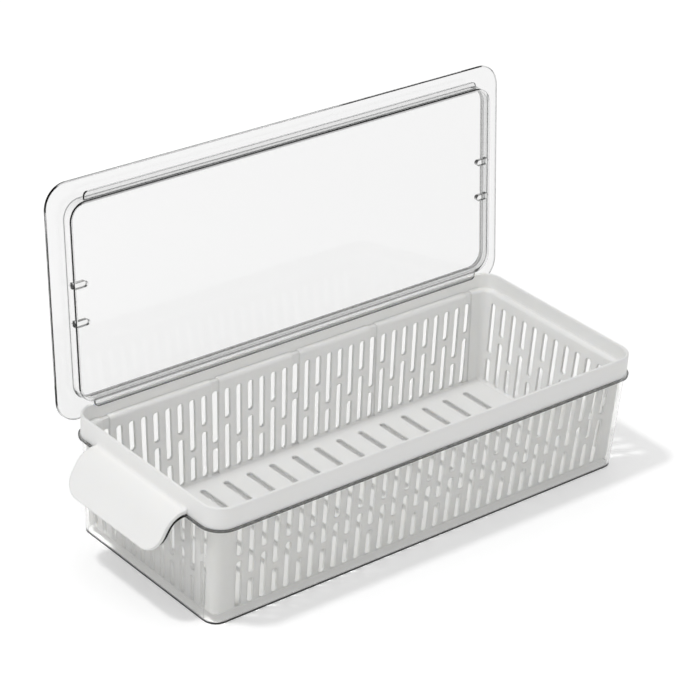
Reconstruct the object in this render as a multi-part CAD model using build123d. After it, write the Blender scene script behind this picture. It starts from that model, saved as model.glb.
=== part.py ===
from build123d import *
from math import cos, radians, sin, tan
import os

# Fridge storage bin: a clear tray, a slotted drainer basket that hangs in it by a deep rim,
# and a clear lid that hooks over the basket's back rim and stands there while the bin is open.
# Millimetres. +X runs along the bin, with the pull lip at -X. The lid stands at +Y. +Z is up.
# The origin is the centre of the tray's base, on the shelf.

# Rim of the basket
RIM_LENGTH = 352.0
RIM_WIDTH = 148.0
RIM_TOP = 86.8
RIM_CORNER = 14.0
RIM_WALL = 2.0
RIM_EDGE = 0.6
LEDGE_DROP = 10.5
LEDGE_THICK = 2.0
LEDGE_ROUND = 2.4
SKIRT = 2.5

# Clear tray
TRAY_INSET = 1.0
TRAY_WALL = 1.8
TRAY_FLOOR = 2.0
TRAY_DRAFT = 2.8
TRAY_FOOT_CUT = 1.5
FLANGE_REACH = 2.4
FLANGE_THICK = 1.0
TRAY_LIP_THICK = 2.0
EDGE_BREAK = 0.5

# Slotted basket
SEAT_GAP = 0.3
BASKET_GAP = 1.9
BASKET_WALL = 1.8
BASKET_FLOOR = 2.0
BASKET_DRAFT = 3.0
BASKET_CORNER = 8.0
BASKET_FOOT_CUT = 2.2
DRAIN_GAP = 3.3

# Slots in the walls: two above each other, with the bridge between them low in one column
# and high in the next. The bridges' middles are measured from the basket's floor.
SLOT_WIDTH = 4.6
SLOT_END = 1.3
SLOT_PITCH = 9.62
END_SLOT_PITCH = 10.6
SLOT_FOOT = 0.7
SLOT_HEAD = 8.2
HIGH_BRIDGE = 36.8
LOW_BRIDGE = 20.8
BRIDGE_HEIGHT = 4.4
CORNER_MARGIN = 0.2

# Slots in the floor
FLOOR_SLOT_MARGIN = 14.0

# Divider guides: in the middle, at the ends and at the slot column nearest this far from the middle
GUIDE_SPACING = 67.0
GUIDE_WIDTH = 6.0
GUIDE_DEPTH = 0.9

# Pull lips: the basket's lies over the tray's. The rise is from the band's foot to its underside.
LIP_HALF_WIDTH = 46.5
LIP_RISE = 1.0
LIP_ROOT = 1.8
LIP_BEND = 16.0
LIP_SLOPE = 60.0
LIP_STRAIGHT = 18.7
LIP_THICK = 2.2
LIP_CORNER = 13.0
TRAY_LIP_INSET = 1.5

# Lid
LID_OVERHANG_END = 9.5
LID_OVERHANG_SIDE = 5.0
LID_CORNER = 16.0
LID_THICK = 2.0
PLUG_END_GAP = 1.5
PLUG_SIDE_GAP = 5.5
PLUG_CORNER = 12.0
PLUG_WALL = 1.8
PLUG_PANEL = 2.0
PLUG_BELOW_STRIP = 1.6
STRIP_THICK = 1.6
STRIP_GAP = 0.4
STRIP_END = 12.0
STRIP_CORNER = 3.0
CHANNEL_PLAY = 0.6
PAD_LENGTH = 9.0
PAD_WIDTH = 4.0
PAD_HEIGHT = 3.0
PAD_SPREAD = 12.7

# Hinge line of the lid: below the top of the back rim wall
CLOSED_GAP = 0.4
PIVOT_INSET = 1.5
PIVOT_DROP = 2.6
LID_LEAN = 6.4

# Levels and half sizes that follow
LEDGE = RIM_TOP - LEDGE_DROP
RIM_FOOT = LEDGE - LEDGE_THICK - SKIRT
SEAT = RIM_FOOT - SEAT_GAP
BASKET_FOOT = TRAY_FLOOR + DRAIN_GAP
BASKET_DECK = BASKET_FOOT + BASKET_FLOOR
RIM_HALF = (RIM_LENGTH / 2, RIM_WIDTH / 2)
TRAY_HALF = tuple(half - TRAY_INSET for half in RIM_HALF)
BASKET_HALF = tuple(half - TRAY_WALL - BASKET_GAP for half in TRAY_HALF)
PIVOT = (RIM_HALF[1] - PIVOT_INSET, RIM_TOP - PIVOT_DROP)
LIP_TOP = RIM_FOOT + LIP_RISE + LIP_THICK


def outline(half, corner, level):
    """Rounded rectangle of these half sizes, on the level plane."""
    return Plane.XY.offset(level) * RectangleRounded(2 * half[0], 2 * half[1], corner)


def grown(half, by):
    return tuple(side + by for side in half)


def upright(half, corner, low, high):
    """Block with straight sides between two levels."""
    return extrude(outline(half, corner, low), high - low)


def drafted(half, corner, level, draft, low, high):
    """Block whose sides pass this outline at level and draw in below it."""
    shift = (high - level) * tan(radians(draft))
    return extrude(outline(grown(half, shift), corner, high), low - high, taper=draft)


def lip(root, top, half_width, straight, thick):
    """Pull lip at the -X end, bent about the same line as the basket's."""
    bend = LIP_BEND - (LIP_TOP - top)
    centre = (-RIM_HALF[0] - LIP_ROOT, top - bend)
    slope = radians(LIP_SLOPE)
    inner = bend - thick

    def on_arc(radius, angle):
        return (centre[0] - radius * sin(angle), centre[1] + radius * cos(angle))

    def run_out(point):
        return (point[0] - straight * cos(slope), point[1] - straight * sin(slope))

    upper_end = run_out(on_arc(bend, slope))
    lower_end = run_out(on_arc(inner, slope))
    edges = [
        Line((root, top), (centre[0], top)),
        ThreePointArc((centre[0], top), on_arc(bend, slope / 2), on_arc(bend, slope)),
        Line(on_arc(bend, slope), upper_end),
        Line(upper_end, lower_end),
        Line(lower_end, on_arc(inner, slope)),
        ThreePointArc(on_arc(inner, slope), on_arc(inner, slope / 2), (centre[0], top - thick)),
        Line((centre[0], top - thick), (root, top - thick)),
        Line((root, top - thick), (root, top)),
    ]
    profile = make_face(Wire(edges))
    body = extrude(Plane.XZ * profile, half_width, both=True)
    tips = [edge for edge in body.edges().filter_by(GeomType.LINE)
            if abs(edge.length - thick) < 1e-6 and edge.center().X < centre[0] - inner * sin(slope)]
    return fillet(tips, LIP_CORNER)


def lip_root():
    """Hollow curve that leads the band's face into the lip."""
    face = -RIM_HALF[0]
    block = Pos(face - LIP_ROOT / 2, 0, LIP_TOP + LIP_ROOT / 2) * Box(LIP_ROOT, 2 * LIP_HALF_WIDTH, LIP_ROOT)
    curve = Rot(90, 0, 0) * Cylinder(LIP_ROOT, 2 * LIP_HALF_WIDTH)
    return block - Pos(face - LIP_ROOT, 0, LIP_TOP + LIP_ROOT) * curve


def clear_tray():
    body = drafted(TRAY_HALF, RIM_CORNER - TRAY_INSET, SEAT, TRAY_DRAFT, 0, SEAT)
    body = chamfer(body.edges().group_by(Axis.Z)[0], TRAY_FOOT_CUT)
    body += upright(grown(TRAY_HALF, FLANGE_REACH), RIM_CORNER - TRAY_INSET + FLANGE_REACH,
                    SEAT - FLANGE_THICK, SEAT)
    body += lip(-TRAY_HALF[0] + TRAY_WALL / 2, SEAT, LIP_HALF_WIDTH - TRAY_LIP_INSET,
                LIP_STRAIGHT - TRAY_LIP_INSET, TRAY_LIP_THICK)
    cavity = drafted(grown(TRAY_HALF, -TRAY_WALL), RIM_CORNER - TRAY_INSET - TRAY_WALL,
                     SEAT, TRAY_DRAFT, TRAY_FLOOR, SEAT)
    cavity = chamfer(cavity.edges().group_by(Axis.Z)[0], TRAY_FOOT_CUT / 2)
    return body - cavity


def slot_shape(length):
    """Upright slot whose ends are cut off at the corners."""
    shape = Rectangle(SLOT_WIDTH, length)
    return chamfer(shape.vertices(), min(SLOT_END, SLOT_WIDTH / 3))


def slot_column(plane, index, across, reach, depth):
    """Cutters for two slots above each other, which lean with the drafted walls at the ends."""
    bridge = BASKET_DECK + (LOW_BRIDGE if index % 2 else HIGH_BRIDGE)
    foot = BASKET_DECK + SLOT_FOOT
    head = LEDGE - SLOT_HEAD
    lean = -BASKET_DRAFT * across / reach
    cutters = []
    for low, high in ((foot, bridge - BRIDGE_HEIGHT / 2), (bridge + BRIDGE_HEIGHT / 2, head)):
        middle = (low + high) / 2
        drift = (LEDGE - middle) * tan(radians(lean))
        shape = Pos(across + drift, middle) * Rot(0, 0, lean) * slot_shape(high - low)
        cutters.append(extrude(plane * shape, depth, both=True))
    return cutters


def slot_places(side, pitch, odd):
    """Places along one wall, evenly about its middle, that stay clear of its round corners."""
    reach = BASKET_HALF[side] - BASKET_CORNER - CORNER_MARGIN - SLOT_WIDTH / 2
    if odd:
        count = int(reach / pitch)
        return [pitch * step for step in range(-count, count + 1)]
    count = int(reach / pitch + 0.5)
    return [pitch * (step + 0.5) for step in range(-count, count)]


def guide_cutters(places):
    """Upright grooves in both long walls and across the ledge, which hold a divider."""
    inner = grown(BASKET_HALF, -BASKET_WALL)
    corner = BASKET_CORNER - BASKET_WALL
    grooves = drafted(grown(inner, GUIDE_DEPTH), corner, SEAT, BASKET_DRAFT, BASKET_DECK, LEDGE)
    grooves += upright(grown(RIM_HALF, -RIM_WALL), RIM_CORNER - RIM_WALL, LEDGE - GUIDE_DEPTH, LEDGE)
    slabs = [Pos(place, 0, RIM_TOP / 2) * Box(GUIDE_WIDTH, RIM_WIDTH, RIM_TOP) for place in places]
    return [grooves & slab for slab in slabs]


def floor_cutters(places):
    """Drain slots across the floor."""
    length = 2 * (BASKET_HALF[1] - BASKET_WALL - FLOOR_SLOT_MARGIN)
    slots = [Pos(place, 0) * slot_shape(length) for place in places]
    return [extrude(Plane.XY.offset(BASKET_FOOT) * slot, BASKET_FLOOR) for slot in slots]


def drainer_basket():
    rim_inner = grown(RIM_HALF, -RIM_WALL)
    rim_inner_corner = RIM_CORNER - RIM_WALL
    inner = grown(BASKET_HALF, -BASKET_WALL)
    body = drafted(BASKET_HALF, BASKET_CORNER, SEAT, BASKET_DRAFT, BASKET_FOOT, LEDGE)
    body = chamfer(body.edges().group_by(Axis.Z)[0], BASKET_FOOT_CUT)
    body += upright(RIM_HALF, RIM_CORNER, RIM_FOOT, RIM_TOP)
    body -= upright(rim_inner, rim_inner_corner, LEDGE, RIM_TOP)
    under = upright(rim_inner, rim_inner_corner, RIM_FOOT, LEDGE - LEDGE_THICK)
    body -= under - drafted(BASKET_HALF, BASKET_CORNER, SEAT, BASKET_DRAFT, BASKET_FOOT, LEDGE)
    cavity = drafted(inner, BASKET_CORNER - BASKET_WALL, SEAT, BASKET_DRAFT, BASKET_DECK, LEDGE)
    cavity = chamfer(cavity.edges().group_by(Axis.Z)[0], BASKET_FOOT_CUT - BASKET_WALL / 2)
    body -= cavity
    body = chamfer(body.edges().group_by(Axis.Z)[-1], min(RIM_EDGE, RIM_WALL / 3))
    mouth = grown(inner, (RIM_TOP - SEAT) * tan(radians(BASKET_DRAFT)))
    ledge_edges = [edge for edge in body.edges().filter_by_position(Axis.Z, LEDGE, LEDGE)
                   if abs(edge.center().X) < mouth[0] and abs(edge.center().Y) < mouth[1]]
    body = fillet(ledge_edges, LEDGE_ROUND)
    body += lip(-RIM_HALF[0] + RIM_WALL / 2, LIP_TOP, LIP_HALF_WIDTH, LIP_STRAIGHT, LIP_THICK)
    body += lip_root()

    long_places = slot_places(0, SLOT_PITCH, True)
    end_places = slot_places(1, END_SLOT_PITCH, False)
    long_cutters = []
    for index, place in enumerate(long_places):
        long_cutters += slot_column(Plane.XZ, index, place, BASKET_HALF[0], RIM_HALF[1])
    end_cutters = []
    for index, place in enumerate(end_places):
        end_cutters += slot_column(Plane.YZ, index, place, BASKET_HALF[1], RIM_HALF[0])
    middle = len(long_places) // 2
    step = round(GUIDE_SPACING / SLOT_PITCH)
    columns = (0, middle - step, middle, middle + step, len(long_places) - 1)
    guides = guide_cutters([long_places[column] for column in columns])
    for cutters in (long_cutters, end_cutters, floor_cutters(long_places[1:-1:2]), guides):
        body -= cutters
    return body


def clear_lid():
    """Lid with its flange hooked behind the back rim wall and its inner strip before it."""
    base = RIM_TOP + CLOSED_GAP
    channel = PIVOT_DROP + CLOSED_GAP + RIM_WALL - PIVOT_INSET + CHANNEL_PLAY
    plug = (RIM_HALF[0] - RIM_WALL - PLUG_END_GAP, RIM_HALF[1] - RIM_WALL - PLUG_SIDE_GAP)
    strip = (plug[0] - STRIP_END, RIM_HALF[1] - RIM_WALL - STRIP_GAP)
    strip_top = base - channel
    plug_foot = strip_top - STRIP_THICK - PLUG_BELOW_STRIP
    panel_top = plug_foot + PLUG_PANEL
    recess = grown(plug, -PLUG_WALL)

    flange = upright((RIM_HALF[0] + LID_OVERHANG_END, RIM_HALF[1] + LID_OVERHANG_SIDE), LID_CORNER,
                     base, base + LID_THICK)
    body = chamfer(flange.edges().filter_by(Plane.XY), EDGE_BREAK)
    insert = upright(plug, PLUG_CORNER, plug_foot, base)
    body += chamfer(insert.edges().group_by(Axis.Z)[0], EDGE_BREAK)
    body += upright(strip, STRIP_CORNER, strip_top - STRIP_THICK, strip_top)
    body -= upright(recess, PLUG_CORNER - PLUG_WALL, panel_top, base + LID_THICK)
    for end in (-1, 1):
        for side in (-1, 1):
            middle = end * (recess[0] - PAD_LENGTH / 2 + PAD_WIDTH / 4)
            pad = Pos(middle, side * PAD_SPREAD) * SlotOverall(PAD_LENGTH + PAD_WIDTH / 2, PAD_WIDTH)
            body += extrude(Plane.XY.offset(panel_top) * pad, PAD_HEIGHT)
    hinge = Axis((0, PIVOT[0], PIVOT[1]), (1, 0, 0))
    return body.rotate(hinge, -(90 + LID_LEAN))


os.makedirs("parts", exist_ok=True)
for make in (clear_tray, drainer_basket, clear_lid):
    export_step(make(), f"parts/{make.__name__}.step")
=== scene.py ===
# %% [markdown]
# # A clear fridge bin with a white drainer basket
#
# The bin is three mouldings: a clear tray, a white slotted basket that hangs in it, and a clear lid that
# stands hooked over the basket's back rim. This lesson gives them their plastics, stands them on a pale
# floor under soft lamps and sets up the camera.

# %% Load the frame
import math

import bmesh
import bpy
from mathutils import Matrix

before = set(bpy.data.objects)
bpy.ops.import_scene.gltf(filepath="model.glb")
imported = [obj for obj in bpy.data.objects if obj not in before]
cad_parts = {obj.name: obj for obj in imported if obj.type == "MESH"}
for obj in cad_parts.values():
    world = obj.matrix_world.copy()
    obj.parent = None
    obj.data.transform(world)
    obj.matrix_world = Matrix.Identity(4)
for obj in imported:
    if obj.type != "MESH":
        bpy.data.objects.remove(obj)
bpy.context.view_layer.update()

# %% [markdown]
# ## Small helpers
#
# Colours are easiest to judge as the hex values of a paint program, but shaders want linear light, so one
# function turns one into the other. A material is a small network of nodes, and one function adds a node with
# its settings and its links in a single line.

# %% Colour and node helpers
MM = 0.001


def linear(hex_code):
    """The linear RGBA colour of an sRGB hex code."""
    parts = [int(hex_code[i:i + 2], 16) / 255 for i in (1, 3, 5)]
    return [c / 12.92 if c <= 0.04045 else ((c + 0.055) / 1.055) ** 2.4 for c in parts] + [1.0]


def add_node(tree, kind, settings=None, **inputs):
    """Adds a node. An input is a value, or the output socket of another node."""
    node = tree.nodes.new(kind)
    for name, value in (settings or {}).items():
        setattr(node, name, value)
    for name, value in inputs.items():
        key = int(name[1:]) if name[0] == "_" else name.replace("_", " ")
        if isinstance(value, bpy.types.NodeSocket):
            tree.links.new(value, node.inputs[key])
        else:
            node.inputs[key].default_value = value
    return node


def new_tree(owner):
    """An empty node tree on a material or the world."""
    owner.use_nodes = True
    owner.node_tree.nodes.clear()
    return owner.node_tree


WHITE = (1, 1, 1, 1)

print("mid grey in linear light:", [round(c, 3) for c in linear("#808080")])

# %% [markdown]
# ## Moulded white polypropylene
#
# The basket is injection-moulded polypropylene, a slightly waxy white plastic with a refractive index of
# 1.49. The mould has a fine spark-eroded grain, so highlights are broad and soft. The grain is really about
# 0.1 mm across, which is too fine for the picture, so it is drawn at 0.9 mm. Wider, fainter clouds stand for
# the flow of the melt.
#
# A mould leaves every edge a little round, and light sinks about a millimetre and a half into the thin walls.
# The roundness could be cut into each of some two hundred slots. A Bevel node rounds the shading alone, which
# looks the same from here and leaves the shape as the CAD has it. Subsurface scattering gives the slight
# glow.

# %% White polypropylene
PP_IOR = 1.49
PP_DARKER, PP_LIGHTER = "#F6F6F4", "#F9F9F8"
PP_SMOOTH, PP_ROUGH = 0.36, 0.46
GRAIN = 0.9 * MM
GRAIN_STRENGTH = 0.06
MELT_CLOUD = 45 * MM
EDGE_ROUND = 1.5 * MM
GLOW_DEPTH = 1.5 * MM
GLOW_SHARE = 0.25
GLOW_REACH = (1.0, 0.95, 0.85)  # red, green and blue


def white_polypropylene():
    material = bpy.data.materials.new("moulded_white_polypropylene")
    tree = new_tree(material)
    place = add_node(tree, "ShaderNodeTexCoord").outputs["Object"]
    cloud = add_node(tree, "ShaderNodeTexNoise", Vector=place, Scale=1 / MELT_CLOUD, Detail=2.0)
    grain = add_node(tree, "ShaderNodeTexNoise", Vector=place, Scale=1 / GRAIN, Detail=1.0)
    tint = add_node(tree, "ShaderNodeMix", {"data_type": "RGBA"}, Factor=cloud.outputs["Fac"],
                    _6=linear(PP_DARKER), _7=linear(PP_LIGHTER))
    rough = add_node(tree, "ShaderNodeMapRange", Value=grain.outputs["Fac"],
                     To_Min=PP_SMOOTH, To_Max=PP_ROUGH)
    soft_edge = add_node(tree, "ShaderNodeBevel", {"samples": 4}, Radius=EDGE_ROUND)
    bump = add_node(tree, "ShaderNodeBump", Height=grain.outputs["Fac"], Strength=GRAIN_STRENGTH,
                    Distance=GRAIN / 4, Normal=soft_edge.outputs["Normal"])
    shader = add_node(tree, "ShaderNodeBsdfPrincipled", Base_Color=tint.outputs["Result"],
                      Roughness=rough.outputs["Result"], Normal=bump.outputs["Normal"], IOR=PP_IOR,
                      Subsurface_Weight=GLOW_SHARE, Subsurface_Radius=GLOW_REACH,
                      Subsurface_Scale=GLOW_DEPTH)
    add_node(tree, "ShaderNodeOutputMaterial", Surface=shader.outputs["BSDF"])
    return material


white_pp = white_polypropylene()
print(white_pp.name, "has", len(white_pp.node_tree.nodes), "nodes")

# %% [markdown]
# ## Clear styrene-acrylonitrile
#
# The tray and the lid are clear styrene plastic from a polished mould, with a refractive index of 1.57. Their
# walls stay pale, but light that enters an edge is trapped and runs along the wall, so edges look nearly
# black. So do inner corners, where the small round of the mould bends the light hardest. Those rounds are
# finer than the CAD model, so this dark shade is painted into the colour instead: two masks find the places,
# a
# Bevel node the outer edges and ambient occlusion over a millimetre or so the inner corners. Both mix a dark
# painted-shade tint into the glass.
#
# A faint grey absorption inside the plastic adds depth. Glass would keep a lamp's light from what stands
# behind it, so for the lamps' shadow rays the surface is simply transparent.

# %% Clear styrene plastic
CLEAR_IOR = 1.57
CLEAR_MIRROR = "#B0B0B0"  # tint of what it mirrors
CLEAR_TO_LAMPS = "#FEFEFE"
CLEAR_INSIDE = "#A6A6A3"
CLEAR_DEPTH = 50 * MM
MELT_RIPPLE = 28 * MM
RIPPLE_STRENGTH = 0.03
RIPPLE_HEIGHT = 0.5 * MM
RIPPLE_ROUGH = 0.03
# Width and thresholds of the painted shade at outer edges and inner corners.
EDGE_LINE = 0.8 * MM
LEAN_STARTS, LEAN_FULL = 0.995, 0.90  # cosine between the rounded normal and the true one
SHUT_STARTS, SHUT_FULL = 0.97, 0.62  # open share of what a point sees


def painted_edge_shade(tree):
    """Painted-shade mask: 0 on the open wall and 1 at an outer edge, where a rounded normal leans away from
    the true one.
    """
    rounded = add_node(tree, "ShaderNodeBevel", {"samples": 3}, Radius=EDGE_LINE)
    true = add_node(tree, "ShaderNodeNewGeometry")
    lean = add_node(tree, "ShaderNodeVectorMath", {"operation": "DOT_PRODUCT"},
                    _0=rounded.outputs["Normal"], _1=true.outputs["Normal"])
    return add_node(tree, "ShaderNodeMapRange", Value=lean.outputs["Value"], From_Min=LEAN_STARTS,
                    From_Max=LEAN_FULL).outputs["Result"]


def painted_corner_shade(tree, reach):
    """Painted-shade mask: 0 on the open wall and 1 in an inner corner, where the plastic near by shuts the
    surface in.
    """
    near = add_node(tree, "ShaderNodeAmbientOcclusion", {"samples": 4, "only_local": True}, Distance=reach)
    return add_node(tree, "ShaderNodeMapRange", Value=near.outputs["AO"], From_Min=SHUT_STARTS,
                    From_Max=SHUT_FULL).outputs["Result"]


def clear_styrene(name, tint, edge, corner_shade_reach):
    """A clear plastic whose edges, and inner corners within the given reach, get a painted shade that darkens
    the tint towards the given dark colour.
    """
    material = bpy.data.materials.new(name)
    tree = new_tree(material)
    place = add_node(tree, "ShaderNodeTexCoord").outputs["Object"]
    ripple = add_node(tree, "ShaderNodeTexNoise", Vector=place, Scale=1 / MELT_RIPPLE, Detail=1.0)
    rough = add_node(tree, "ShaderNodeMapRange", Value=ripple.outputs["Fac"], To_Min=0.0, To_Max=RIPPLE_ROUGH)
    bump = add_node(tree, "ShaderNodeBump", Height=ripple.outputs["Fac"], Strength=RIPPLE_STRENGTH,
                    Distance=RIPPLE_HEIGHT)
    # Painted shade: the dark colour is mixed into the glass at outer edges and inner corners.
    either = add_node(tree, "ShaderNodeMath", {"operation": "MAXIMUM"}, _0=painted_edge_shade(tree),
                      _1=painted_corner_shade(tree, corner_shade_reach))
    colour = add_node(tree, "ShaderNodeMix", {"data_type": "RGBA"}, Factor=either.outputs["Value"],
                      _6=linear(tint), _7=linear(edge))
    glass = add_node(tree, "ShaderNodeBsdfPrincipled", Base_Color=colour.outputs["Result"],
                     Roughness=rough.outputs["Result"], Normal=bump.outputs["Normal"], IOR=CLEAR_IOR,
                     Transmission_Weight=1.0, Specular_Tint=linear(CLEAR_MIRROR))
    open_to_lamps = add_node(tree, "ShaderNodeBsdfTransparent", Color=linear(CLEAR_TO_LAMPS))
    path = add_node(tree, "ShaderNodeLightPath")
    surface = add_node(tree, "ShaderNodeMixShader", _0=path.outputs["Is Shadow Ray"],
                       _1=glass.outputs["BSDF"], _2=open_to_lamps.outputs["BSDF"])
    inside = add_node(tree, "ShaderNodeVolumeAbsorption", Color=linear(CLEAR_INSIDE),
                      Density=1 / CLEAR_DEPTH)
    add_node(tree, "ShaderNodeOutputMaterial", Surface=surface.outputs["Shader"],
             Volume=inside.outputs["Volume"])
    return material


# Second colour: the painted shade at edges and inner corners; last: how far into inner corners it reaches.
clear_tray_plastic = clear_styrene("clear_styrene_tray", "#FEFEFD", "#3E403F", 1.3 * MM)
clear_lid_plastic = clear_styrene("clear_styrene_lid", "#F2F2F2", "#3C3E3E", 0.8 * MM)
print("clear plastics:", clear_tray_plastic.name, clear_lid_plastic.name)

# %% [markdown]
# ## Dress the pieces
#
# Each CAD piece keeps its shape and gets its plastic in place of the plain one that it came with.

# %% Dress the pieces
PLASTICS = {"clear_tray": clear_tray_plastic, "drainer_basket": white_pp, "clear_lid": clear_lid_plastic}
for name, plastic in PLASTICS.items():
    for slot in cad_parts[name].material_slots:
        slot.material = plastic
    print(name, "is", plastic.name)

# %% [markdown]
# ## Floor
#
# A pale studio floor gives the shadows. What the camera sees on it is its own lit white plus a little glow,
# which brings the open floor to pure white and leaves the shadows grey. The key lamp fades further out, so
# the glow rises with the distance from the bin. Rays that light the bin see the painted white only, so the
# glow puts no light on it.

# %% Floor
FLOOR_HALF = 4.0
FLOOR_DROP = 0.2 * MM
FLOOR_PAINT = "#EAEAEA"
GLOW_STARTS = 0.5
NEAR_GLOW, FAR_GLOW = 0.35, 0.70


def seen_directly(tree):
    """1 for rays that show the surface to the eye, straight, in a reflection or through clear plastic."""
    path = add_node(tree, "ShaderNodeLightPath")
    either = add_node(tree, "ShaderNodeMath", {"operation": "MAXIMUM"},
                      _0=path.outputs["Is Camera Ray"], _1=path.outputs["Is Glossy Ray"])
    return add_node(tree, "ShaderNodeMath", {"operation": "MAXIMUM"},
                    _0=either.outputs[0], _1=path.outputs["Is Transmission Ray"]).outputs[0]


def make_floor():
    shape = bmesh.new()
    bmesh.ops.create_grid(shape, x_segments=1, y_segments=1, size=FLOOR_HALF)
    bmesh.ops.translate(shape, verts=shape.verts, vec=(0, 0, -FLOOR_DROP))
    mesh = bpy.data.meshes.new("studio_floor")
    shape.to_mesh(mesh)
    shape.free()
    floor = bpy.data.objects.new("studio_floor", mesh)
    bpy.context.scene.collection.objects.link(floor)
    material = bpy.data.materials.new("white_studio_paint")
    tree = new_tree(material)
    paint = add_node(tree, "ShaderNodeBsdfDiffuse", Color=linear(FLOOR_PAINT))
    place = add_node(tree, "ShaderNodeTexCoord").outputs["Object"]
    away = add_node(tree, "ShaderNodeVectorMath", {"operation": "LENGTH"}, _0=place).outputs["Value"]
    level = add_node(tree, "ShaderNodeMapRange", Value=away, From_Min=GLOW_STARTS, From_Max=FLOOR_HALF,
                     To_Min=NEAR_GLOW, To_Max=FAR_GLOW)
    glow = add_node(tree, "ShaderNodeEmission", Color=WHITE, Strength=level.outputs["Result"])
    both = add_node(tree, "ShaderNodeAddShader", _0=paint.outputs[0], _1=glow.outputs[0])
    surface = add_node(tree, "ShaderNodeMixShader", _0=seen_directly(tree),
                       _1=paint.outputs[0], _2=both.outputs[0])
    add_node(tree, "ShaderNodeOutputMaterial", Surface=surface.outputs[0])
    mesh.materials.append(material)


make_floor()
print("floor", 2 * FLOOR_HALF, "m square")

# %% [markdown]
# ## Room light
#
# Two rooms are mixed by the kind of ray. A pale dome lights the bin from all sides, as large soft lamps
# would, and most from overhead, so that light reaches down into the basket.
#
# What the eye sees, straight, mirrored or through the clear plastic, is a backdrop that is white up to a
# little over the horizon and dark overhead. The dark part gives the clear edges something to bend into view,
# as the black ceiling of a photo studio does.

# %% Room light
LOW_DOME, HIGH_DOME = 0.45, 0.67
DARK_STARTS, DARK_FULL = 0.10, 0.5  # height of the direction, 1 is straight up
BACKDROP_WHITE, BACKDROP_DARK = 1.0, 0.08


def make_room():
    world = bpy.data.worlds.new("studio_room")
    bpy.context.scene.world = world
    tree = new_tree(world)
    direction = add_node(tree, "ShaderNodeTexCoord").outputs["Generated"]
    height = add_node(tree, "ShaderNodeSeparateXYZ", Vector=direction).outputs["Z"]
    shade = add_node(tree, "ShaderNodeMapRange", Value=height, From_Min=DARK_STARTS, From_Max=DARK_FULL,
                     To_Min=BACKDROP_WHITE, To_Max=BACKDROP_DARK)
    backdrop = add_node(tree, "ShaderNodeBackground", Color=WHITE, Strength=shade.outputs["Result"])
    soft = add_node(tree, "ShaderNodeMapRange", Value=height, To_Min=LOW_DOME, To_Max=HIGH_DOME)
    dome = add_node(tree, "ShaderNodeBackground", Color=WHITE, Strength=soft.outputs["Result"])
    surface = add_node(tree, "ShaderNodeMixShader", _0=seen_directly(tree), _1=dome.outputs[0],
                       _2=backdrop.outputs[0])
    add_node(tree, "ShaderNodeOutputWorld", Surface=surface.outputs[0])


make_room()
print("room:", bpy.context.scene.world.name)

# %% [markdown]
# ## Lamps
#
# The key lamp stands high on the left and a little behind the bin. Its place was found from the shadows,
# which lie a little to the front and are fairly crisp, so it is small for its distance. A wide, weak fill
# lamp low at the front left lifts the two sides that face the camera.

# %% Lamps
LAMP_AIM = (0, 0, 0.05)
KEY_PLACE, KEY_SIZE, KEY_WATTS = (-1.06, 0.33, 2.69), 0.22, 26
FILL_PLACE, FILL_SIZE, FILL_WATTS = (-1.1, -1.3, 0.5), 0.9, 2.2


def add_softbox(name, place, size, watts):
    """A square lamp in metres that faces LAMP_AIM."""
    lamp = bpy.data.lights.new(name, "AREA")
    lamp.shape = "SQUARE"
    lamp.size = size
    lamp.energy = watts
    holder = bpy.data.objects.new(name, lamp)
    bpy.context.scene.collection.objects.link(holder)
    holder.location = place
    towards = [a - b for a, b in zip(LAMP_AIM, place)]
    flat = math.hypot(towards[0], towards[1])
    tilt = math.atan2(flat, -towards[2])
    turn = math.atan2(towards[1], towards[0]) - math.pi / 2
    holder.rotation_euler = (tilt, 0, turn)
    return holder


key_lamp = add_softbox("key_softbox", KEY_PLACE, KEY_SIZE, KEY_WATTS)
add_softbox("fill_softbox", FILL_PLACE, FILL_SIZE, FILL_WATTS)
print("key lamp at", tuple(key_lamp.location))

# %% [markdown]
# ## Camera
#
# A long lens from the front left, about 30 degrees above the floor. The place and the turn were found by
# fitting a pinhole camera to the straight edges of the bin.

# %% Camera
SENSOR = 36.0
LENS = 140.63
CAMERA_PLACE = (-1.0314, -1.1407, 0.9407)
CAMERA_TURN = (61.529, -3.380, -39.917)

camera_data = bpy.data.cameras.new("photo_camera")
camera_data.sensor_width = SENSOR
camera_data.lens = LENS
camera = bpy.data.objects.new("photo_camera", camera_data)
camera.location = CAMERA_PLACE
camera.rotation_euler = [math.radians(angle) for angle in CAMERA_TURN]
bpy.context.scene.collection.objects.link(camera)
bpy.context.scene.camera = camera
print("lens", LENS, "mm")

# %% [markdown]
# ## Picture settings
#
# Standard keeps a colour as it is written.

# %% Finish
bpy.context.scene.view_settings.view_transform = "Standard"
